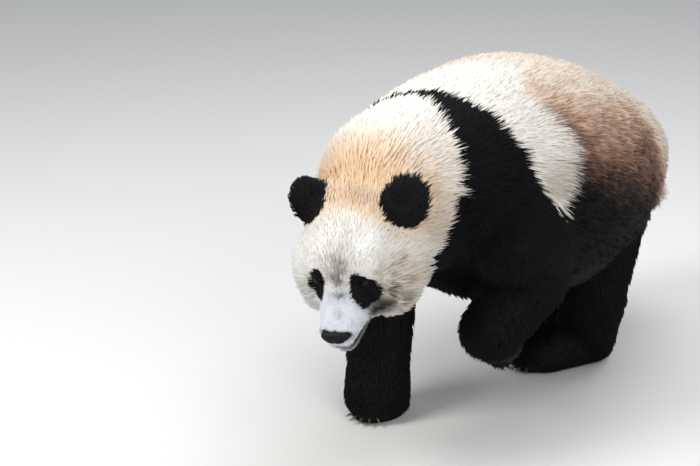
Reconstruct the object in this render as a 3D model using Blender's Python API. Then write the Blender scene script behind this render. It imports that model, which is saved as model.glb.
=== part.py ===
"""Giant panda walking with its head low, as a still, life-size model.

Metres, +Z up. The animal faces -Y and its left side is +X, with the floor at z = 0. All sizes are taken over
the coat. Rounded masses for the trunk, neck, head, limbs, ears and tail are joined into one body, which thin
cuts then part into the named pieces. The left forefoot is off the floor, in mid stride.
"""

import math

import bmesh
import bpy
from mathutils import Matrix, Vector

# ---- Making of the mesh ----
CUT = 0.0004  # width of the thin cut between two pieces
FINE_GRID = 0.0065  # grid on which the rounded masses are joined
SOFTEN_STEPS = 14
SHARP_EDGE = math.radians(50.0)
BODY_TRIANGLES = 3460
RING_POINTS = 28
RINGS_BETWEEN = 4
ROUND_END_STEPS = 6
END_POINT = 0.02  # what is left of a round end at its pole
CUTTER_POINTS = 10
CUTTER_END_STEPS = 3
OUT_OF_THE_WAY = 3.0

# ---- The trunk: place along the spine, sway to the left, back height, belly height, half width ----
TRUNK = (
    (0.565, -0.035, 0.510, 0.430, 0.070),  # end of the rump
    (0.545, -0.032, 0.562, 0.405, 0.135),
    (0.485, -0.032, 0.628, 0.375, 0.193),
    (0.385, -0.030, 0.691, 0.320, 0.240),  # hips
    (0.250, -0.022, 0.753, 0.255, 0.278),
    (0.110, -0.015, 0.806, 0.225, 0.302),  # belly
    (-0.040, -0.010, 0.838, 0.230, 0.310),
    (-0.210, -0.010, 0.836, 0.260, 0.300),
    (-0.350, -0.005, 0.822, 0.325, 0.272),  # withers
    (-0.450, 0.000, 0.800, 0.400, 0.245),
    (-0.530, 0.000, 0.750, 0.475, 0.190),  # front of the chest
)
TRUNK_FULLNESS = 2.2  # 2 is an ellipse, and more is squarer

# ---- The neck: middle of each section, half width, half height ----
NECK = (
    ((0.000, -0.340, 0.610), 0.235, 0.205),
    ((-0.002, -0.440, 0.612), 0.236, 0.205),
    ((-0.004, -0.540, 0.603), 0.213, 0.195),
    ((0.002, -0.630, 0.572), 0.178, 0.170),
    ((0.000, -0.700, 0.545), 0.145, 0.135),
)

# ---- The head, turned a little to the left and hanging ----
HEAD_PLACE = Vector((0.0, -0.708, 0.511))
HEAD_PITCH = math.radians(23.0)
HEAD_ROLL = math.radians(3.5)
HEAD_YAW = math.radians(17.8)

# In the head's own axes, facing -Y: middle and half sizes of each rounded mass.
HEAD_MASSES = (
    ((0.0, 0.020, 0.020), (0.128, 0.135, 0.118)),  # brain case
    ((0.0, -0.060, 0.050), (0.095, 0.075, 0.062)),  # forehead
    ((0.0, -0.110, -0.005), (0.056, 0.056, 0.048)),  # bridge of the muzzle
    ((0.0, -0.020, -0.050), (0.105, 0.105, 0.070)),  # throat
)
CHEEK = ((0.078, -0.012, -0.006), (0.074, 0.098, 0.084))
JOWL = ((0.070, -0.036, -0.050), (0.068, 0.080, 0.066))
BROW = ((0.050, -0.090, 0.050), (0.036, 0.034, 0.034))
EAR_PLACE = Vector((0.114, 0.045, 0.118))
EAR_LEAN = math.radians(-36.0)  # the ear stands back on the lowered head
EAR_OPEN = math.radians(12.0)  # and its cup looks a little outward
# In the ear's own axes, whose cup faces -Y:
EAR = (Vector((0.0, 0.0, 0.0)), (0.0535, 0.019, 0.060))
EAR_HOLLOW = (Vector((0.004, -0.056, 0.012)), (0.038, 0.046, 0.042))
EYE_PLACE = Vector((0.052, -0.1165, 0.0325))
EYE_RADIUS = 0.0105
# Two joints of a tapered length: place, half width, half depth
MUZZLE = (((0.0, -0.085, -0.033), 0.073, 0.073), ((0.0, -0.174, -0.050), 0.050, 0.040))
NOSE = ((0.0, -0.214, -0.040), (0.030, 0.018, 0.015))
JAW = (((0.0, -0.060, -0.078), 0.054, 0.054), ((0.0, -0.166, -0.098), 0.030, 0.026))

# ---- The limbs: joints from the top down, each with its half width and its half depth fore and aft ----
FORE_LEFT = (  # lifted, elbow and wrist bent
    ((0.130, -0.330, 0.600), 0.105, 0.150),  # shoulder blade
    ((0.175, -0.350, 0.500), 0.105, 0.130),  # shoulder point
    ((0.195, -0.290, 0.385), 0.090, 0.100),  # elbow
    ((0.155, -0.395, 0.275), 0.078, 0.078),  # wrist
    ((0.113, -0.308, 0.206), 0.072, 0.050),  # toes
)
FORE_RIGHT = (  # planted, carrying the weight
    ((-0.130, -0.330, 0.600), 0.105, 0.150),
    ((-0.175, -0.370, 0.500), 0.100, 0.130),
    ((-0.168, -0.372, 0.330), 0.085, 0.098),
    ((-0.149, -0.415, 0.140), 0.079, 0.076),
    ((-0.140, -0.432, 0.052), 0.084, 0.085),
)
HIND_LEFT = (  # planted, well forward
    ((0.105, 0.280, 0.500), 0.115, 0.145),  # hip
    ((0.145, 0.150, 0.360), 0.105, 0.124),  # thigh
    ((0.150, 0.120, 0.230), 0.090, 0.098),  # knee
    ((0.115, 0.172, 0.070), 0.076, 0.080),  # heel
    ((0.046, 0.055, 0.045), 0.078, 0.055),  # toes
)
HIND_RIGHT = (  # planted, trailing
    ((-0.135, 0.380, 0.480), 0.118, 0.165),
    ((-0.170, 0.368, 0.350), 0.106, 0.138),
    ((-0.170, 0.345, 0.230), 0.088, 0.098),
    ((-0.145, 0.455, 0.072), 0.075, 0.080),
    ((-0.125, 0.355, 0.045), 0.073, 0.055),
)
LIMBS = {
    "fore_left": FORE_LEFT,
    "fore_right": FORE_RIGHT,
    "hind_left": HIND_LEFT,
    "hind_right": HIND_RIGHT,
}
TAIL = (((0.005, 0.532, 0.480), 0.056), ((0.068, 0.592, 0.368), 0.044))

# ---- The toes and claws: where the sole's front edge is, and which way each foot points ----
# For each foot: middle of the toe row, direction ahead, direction the claws droop toward.
TOE_ROWS = {
    "fore_left": (Vector((0.108, -0.292, 0.172)), Vector((-0.25, 0.35, -0.90)), Vector((0.0, 0.9, 0.4))),
    "fore_right": (Vector((-0.132, -0.470, 0.020)), Vector((0.12, -1.0, 0.0)), Vector((0.0, 0.0, -1.0))),
    "hind_left": (Vector((0.028, 0.024, 0.020)), Vector((-0.50, -0.86, 0.0)), Vector((0.0, 0.0, -1.0))),
    "hind_right": (Vector((-0.118, 0.320, 0.020)), Vector((0.20, -1.0, 0.0)), Vector((0.0, 0.0, -1.0))),
}
TOES = 5
TOE_RADIUS = 0.021
TOE_REACH = 0.060  # from the middle of the fan to each toe's tip
TOE_MIDDLE = 0.55  # how far along that reach each toe's middle lies
TOE_FAN = math.radians(120.0)
CLAW_START = 0.6  # how far along that reach each claw begins
CLAW_LENGTH = 0.030
CLAW_BEND = 0.25  # how much of its length a claw's tip droops
CLAW_TIP = 0.08  # how much of its thickness is left at the tip
CLAW_RADIUS = 0.0055
CLAW_SIDES = 5
CLAW_RINGS = 3

# ---- The cuts ----
# The middle and half sizes of the block or ball that takes each piece off. In the head's axes:
NOSE_CUT = ((0.0, -0.237, -0.036), (0.031, 0.030, 0.019))
JAW_CUT = ((0.0, -0.165, -0.167), (0.075, 0.090, 0.078))
HEAD_CUT = ((0.0, -0.310, 0.0), (0.30, 0.40, 0.24))
# In the ear's axes:
EAR_CUT = (Vector((0.004, -0.002, 0.012)), (0.062, 0.036, 0.060))
# In the model's axes:
TAIL_CUT = ((0.050, 0.640, 0.396), (0.110, 0.078, 0.130))
NECK_CUT = ((0.0, -0.930, 0.55), (0.45, 0.36, 0.41))
NECK_LEAN = math.radians(-12.0)
# The blocks that take the lengths of limb: middle of the near end, a point toward the far end, half width, half depth
PAW_CUTS = {
    "fore_left": ((0.138, -0.360, 0.250), (0.108, -0.295, 0.175), 0.088, 0.078),
    "fore_right": ((-0.140, -0.425, 0.160), (-0.140, -0.425, 0.0), 0.115, 0.150),
    "hind_left": ((0.090, 0.130, 0.165), (0.090, 0.130, 0.0), 0.160, 0.190),
    "hind_right": ((-0.135, 0.420, 0.165), (-0.135, 0.420, 0.0), 0.120, 0.200),
}
LOWER_CUTS = {
    "fore_left": ((0.174, -0.346, 0.325), (0.155, -0.395, 0.275), 0.086, 0.086),
    "fore_right": ((-0.163, -0.384, 0.275), (-0.148, -0.405, 0.180), 0.110, 0.120),
    "hind_left": ((0.148, 0.134, 0.215), (0.130, 0.150, 0.120), 0.110, 0.130),
    "hind_right": ((-0.168, 0.380, 0.225), (-0.155, 0.420, 0.120), 0.110, 0.140),
}
LIMB_BLOCK_REACH = 0.115  # half length
UPPER_MARGIN = 0.022  # the upper length is taken by its own rounded mass, made this much bigger all round

FUR_WHITE = (0.78, 0.74, 0.66)
FUR_CREAM = (0.72, 0.58, 0.40)
FUR_BLACK = (0.02, 0.02, 0.022)
NOSE_BLACK = (0.012, 0.012, 0.014)
EYE_BROWN = (0.025, 0.014, 0.009)
FUR_ROUGHNESS = 0.9
NOSE_ROUGHNESS = 0.4
EYE_ROUGHNESS = 0.1


def clear_scene():
    for obj in list(bpy.data.objects):
        bpy.data.objects.remove(obj)


def link(name, bm):
    mesh = bpy.data.meshes.new(name)
    bm.to_mesh(mesh)
    bm.free()
    obj = bpy.data.objects.new(name, mesh)
    bpy.context.scene.collection.objects.link(obj)
    return obj


def material(name, colour, roughness):
    found = bpy.data.materials.new(name)
    found.use_nodes = True
    shader = found.node_tree.nodes["Principled BSDF"]
    shader.inputs["Base Color"].default_value = (*colour, 1)
    shader.inputs["Roughness"].default_value = roughness
    return found


# ---------------------------------------------------------------- rounded masses


def spline(rows, count):
    """The rows of numbers joined by a smooth curve through each of them, with count rows added in each gap."""
    padded = [rows[0], *rows, rows[-1]]
    found = []
    for a, b, c, d in zip(padded, padded[1:], padded[2:], padded[3:]):
        for i in range(count + 1):
            t = i / (count + 1)
            weights = (
                -0.5 * t + t * t - 0.5 * t**3,
                1 - 2.5 * t * t + 1.5 * t**3,
                0.5 * t + 2 * t * t - 1.5 * t**3,
                -0.5 * t * t + 0.5 * t**3,
            )
            found.append([sum(w * x for w, x in zip(weights, xs)) for xs in zip(a, b, c, d)])
    found.append(list(rows[-1]))
    return found


def section(centre, across, rise, half_width, half_height, fullness=2.0, points_round=RING_POINTS):
    """The points of one closed cross-section, a superellipse."""
    points = []
    for i in range(points_round):
        angle = 2 * math.pi * i / points_round
        c = math.cos(angle)
        s = math.sin(angle)
        x = math.copysign(abs(c) ** (2 / fullness), c) * half_width
        z = math.copysign(abs(s) ** (2 / fullness), s) * half_height
        points.append(centre + across * x + rise * z)
    return points


def loft(bm, sections):
    """A closed skin over a row of sections, with flat ends."""
    rings = [[bm.verts.new(p) for p in points] for points in sections]
    around = len(rings[0])
    made = []
    for a, b in zip(rings, rings[1:]):
        for i in range(around):
            j = (i + 1) % around
            made.append(bm.faces.new((a[i], a[j], b[j], b[i])))
    made.append(bm.faces.new(list(reversed(rings[0]))))
    made.append(bm.faces.new(rings[-1]))
    bmesh.ops.recalc_face_normals(bm, faces=made)


def add_trunk(bm):
    sections = []
    for y, sway, top, belly, half_width in spline(TRUNK, RINGS_BETWEEN):
        centre = Vector((sway, y, (top + belly) / 2))
        half_height = (top - belly) / 2
        across = Vector((1, 0, 0))
        rise = Vector((0, 0, 1))
        sections.append(section(centre, across, rise, half_width, half_height, TRUNK_FULLNESS))
    loft(bm, sections)


def add_neck(bm):
    rows = spline([(*centre, width, height) for centre, width, height in NECK], RINGS_BETWEEN)
    middles = [Vector(row[:3]) for row in rows]
    sections = []
    for i, row in enumerate(rows):
        ahead = (middles[min(i + 1, len(rows) - 1)] - middles[max(i - 1, 0)]).normalized()
        across = Vector((1, 0, 0))
        sections.append(section(middles[i], across, across.cross(ahead).normalized(), row[3], row[4]))
    loft(bm, sections)


def add_ball(bm, centre, radii, place, points_round=RING_POINTS):
    """An ellipsoid, in axes that place carries into the model."""
    shape = place @ Matrix.Translation(centre) @ Matrix.Diagonal((*radii, 1))
    bmesh.ops.create_uvsphere(bm, u_segments=points_round, v_segments=points_round // 2, radius=1, matrix=shape)


def add_segment(bm, start, end, place, points_round=RING_POINTS, end_steps=ROUND_END_STEPS):
    """A tapered length with round ends between two joints."""
    a, across_a, deep_a = start
    b, across_b, deep_b = end
    a = place @ Vector(a)
    b = place @ Vector(b)
    along = (b - a).normalized()
    across = (Vector((1, 0, 0)) - along * along.x).normalized()
    rise = along.cross(across)
    sections = []
    for middle, half_width, half_depth, turns in (
        (a, across_a, deep_a, [i / end_steps - 1 for i in range(end_steps + 1)]),
        (b, across_b, deep_b, [i / end_steps for i in range(end_steps + 1)]),
    ):
        for turn in turns:
            angle = math.pi / 2 * turn
            shrink = max(math.cos(angle), END_POINT)
            centre = middle + along * math.sin(angle) * (half_width + half_depth) / 2
            width = half_width * shrink
            depth = half_depth * shrink
            sections.append(section(centre, across, rise, width, depth, points_round=points_round))
    loft(bm, sections)


def head_axes():
    turn = (
        Matrix.Rotation(HEAD_ROLL, 4, "Y")
        @ Matrix.Rotation(HEAD_PITCH, 4, "X")
        @ Matrix.Rotation(HEAD_YAW, 4, "Z")
    )
    return Matrix.Translation(HEAD_PLACE) @ turn


def on_side(point, side):
    return Vector((point[0] * side, point[1], point[2]))


def ear_axes(side):
    turn = Matrix.Rotation(EAR_OPEN * side, 4, "Z") @ Matrix.Rotation(EAR_LEAN, 4, "X")
    return head_axes() @ Matrix.Translation(on_side(EAR_PLACE, side)) @ turn


def add_head(bm):
    place = head_axes()
    for centre, radii in (*HEAD_MASSES, NOSE):
        add_ball(bm, centre, radii, place)
    for side in (-1, 1):
        for centre, radii in (CHEEK, JOWL, BROW):
            add_ball(bm, on_side(centre, side), radii, place)
        add_ball(bm, *EAR, ear_axes(side))
    for start, end in (MUZZLE, JAW):
        add_segment(bm, start, end, place)


def whole_body():
    model_axes = Matrix.Identity(4)
    bm = bmesh.new()
    add_trunk(bm)
    add_neck(bm)
    add_head(bm)
    for name, limb in LIMBS.items():
        for start, end in zip(limb, limb[1:]):
            add_segment(bm, start, end, model_axes)
        add_toes(bm, name)
    (a, radius_a), (b, radius_b) = TAIL
    add_segment(bm, (a, radius_a, radius_a), (b, radius_b, radius_b), model_axes)
    body = link("body", bm)
    join = body.modifiers.new("join", "REMESH")
    join.mode = "VOXEL"
    join.voxel_size = FINE_GRID
    soften = body.modifiers.new("soften", "SMOOTH")
    soften.factor = 0.5
    soften.iterations = SOFTEN_STEPS
    settle(body)
    thin = body.modifiers.new("thin", "DECIMATE")
    triangles = sum(len(face.vertices) - 2 for face in body.data.polygons)
    thin.ratio = BODY_TRIANGLES / triangles
    settle(body)
    return body


# ---------------------------------------------------------------- parting into pieces


def settle(obj):
    """The object's modifiers made part of its mesh."""
    bpy.context.view_layer.update()
    graph = bpy.context.evaluated_depsgraph_get()
    mesh = bpy.data.meshes.new_from_object(obj.evaluated_get(graph))
    obj.modifiers.clear()
    obj.data = mesh


def boolean(obj, cutter, operation):
    step = obj.modifiers.new(operation.lower(), "BOOLEAN")
    step.operation = operation
    step.solver = "EXACT"
    step.object = cutter
    settle(obj)
    bpy.data.objects.remove(cutter)


def ball(centre, radii, place):
    """A maker of a ball, at its own size or grown by a little all round."""

    def make(grow, points_round=CUTTER_POINTS):
        bm = bmesh.new()
        add_ball(bm, centre, [r + grow for r in radii], place, points_round)
        return link("ball", bm)

    return make


def block(centre, half_sizes, place):
    """A maker of a block, at its own size or grown by a little all round."""

    def make(grow):
        sizes = [2 * (size + grow) for size in half_sizes]
        shape = place @ Matrix.Translation(centre) @ Matrix.Diagonal((*sizes, 1))
        bm = bmesh.new()
        bmesh.ops.create_cube(bm, size=1, matrix=shape)
        return link("block", bm)

    return make


def limb_block(start, toward, half_width, half_depth):
    """A maker of a block that begins at a point and runs on toward another."""
    a = Vector(start)
    along = (Vector(toward) - a).normalized()
    across = (Vector((1, 0, 0)) - along * along.x).normalized()
    turn = Matrix((across, along.cross(across), along)).transposed().to_4x4()
    place = Matrix.Translation(a + along * LIMB_BLOCK_REACH) @ turn
    return block(Vector(), (half_width, half_depth, LIMB_BLOCK_REACH), place)


def sleeve(start, end, margin):
    """A maker of a length of limb a margin bigger than the limb."""

    def make(grow):
        bm = bmesh.new()
        top, bottom = ((joint[0], joint[1] + margin + grow, joint[2] + margin + grow) for joint in (start, end))
        add_segment(bm, top, bottom, Matrix.Identity(4), CUTTER_POINTS, CUTTER_END_STEPS)
        bmesh.ops.triangulate(bm, faces=bm.faces, quad_method="FIXED")
        return link("sleeve", bm)

    return make


def keep_largest(obj):
    """The mesh with any loose crumb of a cut taken away."""
    bm = bmesh.new()
    bm.from_mesh(obj.data)
    left = set(bm.verts)
    groups = []
    while left:
        group = set()
        edge = [left.pop()]
        while edge:
            vert = edge.pop()
            group.add(vert)
            for link_edge in vert.link_edges:
                other = link_edge.other_vert(vert)
                if other in left:
                    left.discard(other)
                    edge.append(other)
        groups.append(group)
    groups.sort(key=len, reverse=True)
    for group in groups[1:]:
        bmesh.ops.delete(bm, geom=list(group), context="VERTS")
    bm.to_mesh(obj.data)
    bm.free()


def take_off(body, name, make, surface):
    """The part of the body inside a shape, as a piece of its own with a thin cut round it."""
    piece = bpy.data.objects.new(name, body.data.copy())
    bpy.context.scene.collection.objects.link(piece)
    for obj, operation, grow in ((piece, "INTERSECT", 0.0), (body, "DIFFERENCE", CUT)):
        cutter = make(grow)
        boolean(obj, cutter, operation)
        keep_largest(obj)
    finish(piece, surface)
    return piece


def toe_directions(name):
    """The way each toe of a foot points, fanned about the way the foot points."""
    middle, ahead, droop = TOE_ROWS[name]
    ahead = ahead.normalized()
    droop = (droop - ahead * droop.dot(ahead)).normalized()
    for i in range(TOES):
        turn = Matrix.Rotation(TOE_FAN * (i / (TOES - 1) - 0.5), 3, droop)
        yield middle, turn @ ahead, droop


def add_toes(bm, name):
    for middle, toward, droop in toe_directions(name):
        centre = middle + toward * TOE_REACH * TOE_MIDDLE
        add_ball(bm, centre, (TOE_RADIUS,) * 3, Matrix.Identity(4))


def claws(name):
    """Five bent, tapered claws, one ahead of each toe."""
    bm = bmesh.new()
    for middle, toward, droop in toe_directions(name):
        start = middle + toward * TOE_REACH * CLAW_START
        across = toward.cross(droop)
        sections = []
        for i in range(CLAW_RINGS):
            t = i / (CLAW_RINGS - 1)
            centre = start + toward * CLAW_LENGTH * t + droop * CLAW_LENGTH * CLAW_BEND * t * t
            radius = CLAW_RADIUS * (1 + CLAW_TIP - t)
            points = []
            for k in range(CLAW_SIDES):
                angle = 2 * math.pi * k / CLAW_SIDES
                points.append(centre + across * radius * math.cos(angle) + droop * radius * math.sin(angle))
            sections.append(points)
        loft(bm, sections)
    return link("claws", bm)


def finish(obj, surface):
    obj.data.materials.clear()
    obj.data.materials.append(surface)
    for face in obj.data.polygons:
        face.use_smooth = True
    obj.data.set_sharp_from_angle(angle=SHARP_EDGE)


def centre_over_origin(objects):
    """Every piece moved together, so that the origin is under the middle of the whole animal."""
    corners = [obj.matrix_world @ vert.co for obj in objects for vert in obj.data.vertices]
    middle = [(min(c[k] for c in corners) + max(c[k] for c in corners)) / 2 for k in (0, 1)]
    shift = Matrix.Translation((-middle[0], -middle[1], 0))
    for obj in objects:
        obj.data.transform(shift)


clear_scene()
body = whole_body()
head = head_axes()
model = Matrix.Identity(4)
white = material("fur_white", FUR_WHITE, FUR_ROUGHNESS)
cream = material("fur_cream", FUR_CREAM, FUR_ROUGHNESS)
black = material("fur_black", FUR_BLACK, FUR_ROUGHNESS)
nose_black = material("nose", NOSE_BLACK, NOSE_ROUGHNESS)
eye_brown = material("eye", EYE_BROWN, EYE_ROUGHNESS)

under_floor = block((0, 0, -OUT_OF_THE_WAY), (OUT_OF_THE_WAY,) * 3, model)
boolean(body, under_floor(0.0), "DIFFERENCE")

take_off(body, "nose_pad", ball(*NOSE_CUT, head), nose_black)
for name, side in (("left", 1), ("right", -1)):
    ear = ear_axes(side)
    centre, radii = EAR_HOLLOW
    boolean(body, ball(on_side(centre, side), radii, ear)(0.0), "DIFFERENCE")
    centre, radii = EAR_CUT
    take_off(body, "ear_" + name, ball(on_side(centre, side), radii, ear), black)
    eyeball = ball(on_side(EYE_PLACE, side), (EYE_RADIUS,) * 3, head)
    boolean(body, eyeball(CUT), "DIFFERENCE")
    eye = eyeball(0.0)
    eye.name = "eye_" + name
    finish(eye, eye_brown)
take_off(body, "lower_jaw", block(*JAW_CUT, head), white)
take_off(body, "head", block(*HEAD_CUT, head), white)
take_off(body, "tail", ball(*TAIL_CUT, model), white)
for name, limb in LIMBS.items():
    paw = take_off(body, "paw_" + name, limb_block(*PAW_CUTS[name]), black)
    boolean(paw, claws(name), "UNION")
    finish(paw, black)
    take_off(body, "lower_" + name, limb_block(*LOWER_CUTS[name]), black)
    take_off(body, "upper_" + name, sleeve(limb[1], limb[2], UPPER_MARGIN), black)
take_off(body, "neck", block(*NECK_CUT, Matrix.Rotation(NECK_LEAN, 4, "X")), white)
body.name = "trunk"
finish(body, cream)
centre_over_origin(bpy.context.scene.objects)
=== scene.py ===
"""A life-size giant panda, walking with its head low, as a museum's still model."""
import math

import bmesh
import bpy
import numpy as np
from mathutils import Matrix, Vector
from mathutils.bvhtree import BVHTree


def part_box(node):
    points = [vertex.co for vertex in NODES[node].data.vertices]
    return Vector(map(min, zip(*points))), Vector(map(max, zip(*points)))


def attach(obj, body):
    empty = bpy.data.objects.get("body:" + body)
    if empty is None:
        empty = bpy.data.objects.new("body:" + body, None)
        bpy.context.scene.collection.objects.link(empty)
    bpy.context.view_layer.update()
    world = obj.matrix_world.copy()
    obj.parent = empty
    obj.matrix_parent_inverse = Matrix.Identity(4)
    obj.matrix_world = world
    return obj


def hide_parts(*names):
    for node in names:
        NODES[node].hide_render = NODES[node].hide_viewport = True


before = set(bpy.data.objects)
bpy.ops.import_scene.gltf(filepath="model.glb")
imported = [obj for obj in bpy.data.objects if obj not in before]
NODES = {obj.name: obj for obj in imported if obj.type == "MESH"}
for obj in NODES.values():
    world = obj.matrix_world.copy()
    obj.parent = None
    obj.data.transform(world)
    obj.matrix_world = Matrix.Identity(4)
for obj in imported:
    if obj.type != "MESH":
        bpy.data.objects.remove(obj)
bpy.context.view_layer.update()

# ---------------- where things are
SOLIDS = sorted(NODES)
FLESH = [name for name in SOLIDS if not name.startswith("eye_") and name != "nose_pad"]
HEAD_NODES = ("head", "lower_jaw", "nose_pad", "eye_left", "eye_right")
SIDES = {"left": 1.0, "right": -1.0}

# The head's own axes: x to its left, -y out through the nose, z up through the crown.
EYE_PLACE = Vector((0.052, -0.1165, 0.0325))
EYE_RADIUS = 0.0105
LOOK = (0.45, -0.88, 0.10)
NOSE_AT = (0.0, -0.2095, -0.0425)
NOSE_SIZE = (0.0315, 0.0170, 0.0145)
NOSE_TIP = (0.0, -0.222, -0.044)
EAR_PLACE = (0.114, 0.045, 0.118)
EAR_ROOT = (0.098, 0.036, 0.072)
EAR_LEAN = math.radians(-36.0)
EAR_OPEN = math.radians(12.0)
MOUTH_HEIGHT = -0.083  # the line of the mouth
MOUTH_CORNER = -0.098  # where its corners are, behind the nose
MUZZLE_HALF = 0.075
HEAD_TILT = math.radians(3.5)
HEAD_NOD = math.radians(23.0)
HEAD_LOOK = math.radians(17.8)
HEAD_TURN = (
    Matrix.Rotation(HEAD_TILT, 3, "Y")
    @ Matrix.Rotation(HEAD_NOD, 3, "X")
    @ Matrix.Rotation(HEAD_LOOK, 3, "Z")
)
TO_HEAD = np.array(HEAD_TURN)
HEAD_FROM_POSE = Vector((0.0, -0.708, 0.511))

# The head is found from its left eye, and the pose's other places from the head.
eye_low, eye_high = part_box("eye_left")
HEAD_AT = (Vector(eye_low) + Vector(eye_high)) / 2 - HEAD_TURN @ EYE_PLACE
POSE_AT = HEAD_AT - HEAD_FROM_POSE

# Each limb's joints from the body down to the toes, as the pose has them.
LIMBS = {
    "fore_left": ((0.130, -0.330, 0.600), (0.175, -0.350, 0.500), (0.195, -0.290, 0.385),
                  (0.155, -0.395, 0.275), (0.113, -0.308, 0.206), (0.088, -0.262, 0.110)),
    "fore_right": ((-0.130, -0.330, 0.600), (-0.175, -0.370, 0.500), (-0.168, -0.372, 0.330),
                   (-0.149, -0.415, 0.140), (-0.140, -0.432, 0.052), (-0.130, -0.530, 0.015)),
    "hind_left": ((0.105, 0.280, 0.500), (0.145, 0.150, 0.360), (0.150, 0.120, 0.230),
                  (0.115, 0.172, 0.070), (0.046, 0.055, 0.045), (-0.010, -0.040, 0.015)),
    "hind_right": ((-0.135, 0.380, 0.480), (-0.170, 0.368, 0.350), (-0.170, 0.345, 0.230),
                   (-0.145, 0.455, 0.072), (-0.125, 0.355, 0.045), (-0.105, 0.255, 0.015)),
}


# ---------------- helpers for points
FAR_OFF = 9.0  # stands for a place too far away to count


def ramp(values, low, high):
    """0 below low, 1 above high, smooth between."""
    t = np.clip((values - low) / (high - low), 0.0, 1.0)
    return t * t * (3.0 - 2.0 * t)


def fade(values, low, high):
    """1 below low, 0 above high, smooth between."""
    return 1.0 - ramp(values, low, high)


def bell(values, centre, reach):
    """1 at the centre, falling away smoothly on both sides."""
    return np.exp(-((values - centre) / reach) ** 2)


def far_from(points, place):
    return np.linalg.norm(points - np.array(place), axis=1)


def round_spot(points, place, reach):
    """1 at a place, falling away smoothly all round it."""
    return bell(far_from(points, place), 0.0, reach)


def unit(vectors):
    return vectors / np.maximum(np.linalg.norm(vectors, axis=1, keepdims=True), 1e-9)


def within(points, low, high):
    return np.all((points > np.array(low)) & (points < np.array(high)), axis=1)


def in_head(points):
    """Points of the row as points of the head's own axes."""
    return (points - np.array(HEAD_AT)) @ TO_HEAD


def out_of_head(points):
    return points @ TO_HEAD.T + np.array(HEAD_AT)


def on_side(place, s):
    """A place or a way given for the left side, on the left for s = 1 and on the right for -1."""
    return np.array((place[0] * s, place[1], place[2]))


def from_pair(at, place):
    """How far points of the head are from a place or from its like on the other side."""
    return np.min([far_from(at, on_side(place, s)) for s in SIDES.values()], axis=0)


def ear_turn(s):
    return np.array(Matrix.Rotation(EAR_OPEN * s, 3, "Z") @ Matrix.Rotation(EAR_LEAN, 3, "X"))


def in_ear(at, s):
    """Points of the head's axes in the ear's own, whose cup faces -y."""
    return (at - on_side(EAR_PLACE, s)) @ ear_turn(s)


def from_leather(at):
    """0 at the middle of the nose leather, 1 at its surface."""
    return np.linalg.norm((at - np.array(NOSE_AT)) / np.array(NOSE_SIZE), axis=1)


def from_lips(at):
    """How far points of the muzzle are above the line of the mouth, less than 0 under it."""
    x, y, z = at.T
    return np.where((y < MOUTH_CORNER) & (np.abs(x) < MUZZLE_HALF), z - MOUTH_HEIGHT, FAR_OFF)


def relax(values, ends, steps):
    """Draws each value half way to the mean of its neighbours', as often as steps says."""
    values = np.array(values, dtype=float)
    count = len(values)
    a, b = ends.T
    links = np.maximum(np.bincount(ends.ravel(), minlength=count), 1)
    for _ in range(steps):
        for column in values.reshape(count, -1).T:
            total = np.bincount(a, weights=column[b], minlength=count)
            total += np.bincount(b, weights=column[a], minlength=count)
            column += (total / links - column) * 0.5
    return values


WAVES = 7
WAVE_SPREAD = (0.7, 1.5)  # the waves' own sizes, as shares of the size asked for
WAVE_BEND = 1.6
WAVE_REACH = 3.2  # the sum of the waves is seldom more


def wave_noise(points, size, seed):
    """A soft noise from -1 to 1 whose bumps are about size across."""
    rng = np.random.default_rng(seed)
    total = np.zeros(len(points))
    for _ in range(WAVES):
        way = rng.normal(size=3)
        way *= rng.uniform(*WAVE_SPREAD) * math.pi / size / np.linalg.norm(way)
        bend = rng.normal(size=3)
        bend *= 2.0 * math.pi / (size * 3.0) / np.linalg.norm(bend)
        shift = rng.uniform(0.0, 6.28, size=2)
        total += np.sin(points @ way + shift[0] + WAVE_BEND * np.sin(points @ bend + shift[1]))
    return np.clip(total / WAVE_REACH, -1.0, 1.0)


# ---------------- helpers for meshes
def new_object(name, data):
    thing = bpy.data.objects.new(name, data)
    bpy.context.scene.collection.objects.link(thing)
    return thing


def read(items, key, width, kind=float):
    values = np.empty(len(items) * width, dtype=kind)
    items.foreach_get(key, values)
    return values.reshape(-1, width)


def coordinates(mesh):
    return read(mesh.vertices, "co", 3)


def outward(mesh):
    return read(mesh.vertex_normals, "vector", 3)


def edge_ends(mesh):
    return read(mesh.edges, "vertices", 2, np.int64)


def put_back(mesh, co):
    mesh.vertices.foreach_set("co", co.ravel())
    mesh.update()


def store(mesh, name, values):
    """Keeps one value, or one vector, for each point of a mesh."""
    values = np.asarray(values, dtype=np.float32)
    kind = "FLOAT" if values.ndim == 1 else "FLOAT_VECTOR"
    field = mesh.attributes.get(name) or mesh.attributes.new(name, kind, "POINT")
    field.data.foreach_set("value" if kind == "FLOAT" else "vector", values.ravel())


def edit(mesh, work):
    """Opens a mesh, does the work on it and closes it again."""
    bm = bmesh.new()
    bm.from_mesh(mesh)
    bm.verts.ensure_lookup_table()
    work(bm)
    bm.to_mesh(mesh)
    bm.free()


def closed_mesh(name, points, faces, along):
    """A closed mesh that faces outward and keeps how far along it each point lies."""
    mesh = bpy.data.meshes.new(name)
    mesh.from_pydata(points, [], faces)
    edit(mesh, lambda bm: bmesh.ops.recalc_face_normals(bm, faces=bm.faces))
    store(mesh, "along", along)
    return mesh


def as_shown(piece):
    """A mesh of its own of what a piece looks like with its modifiers."""
    return bpy.data.meshes.new_from_object(piece.evaluated_get(bpy.context.evaluated_depsgraph_get()))


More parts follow.
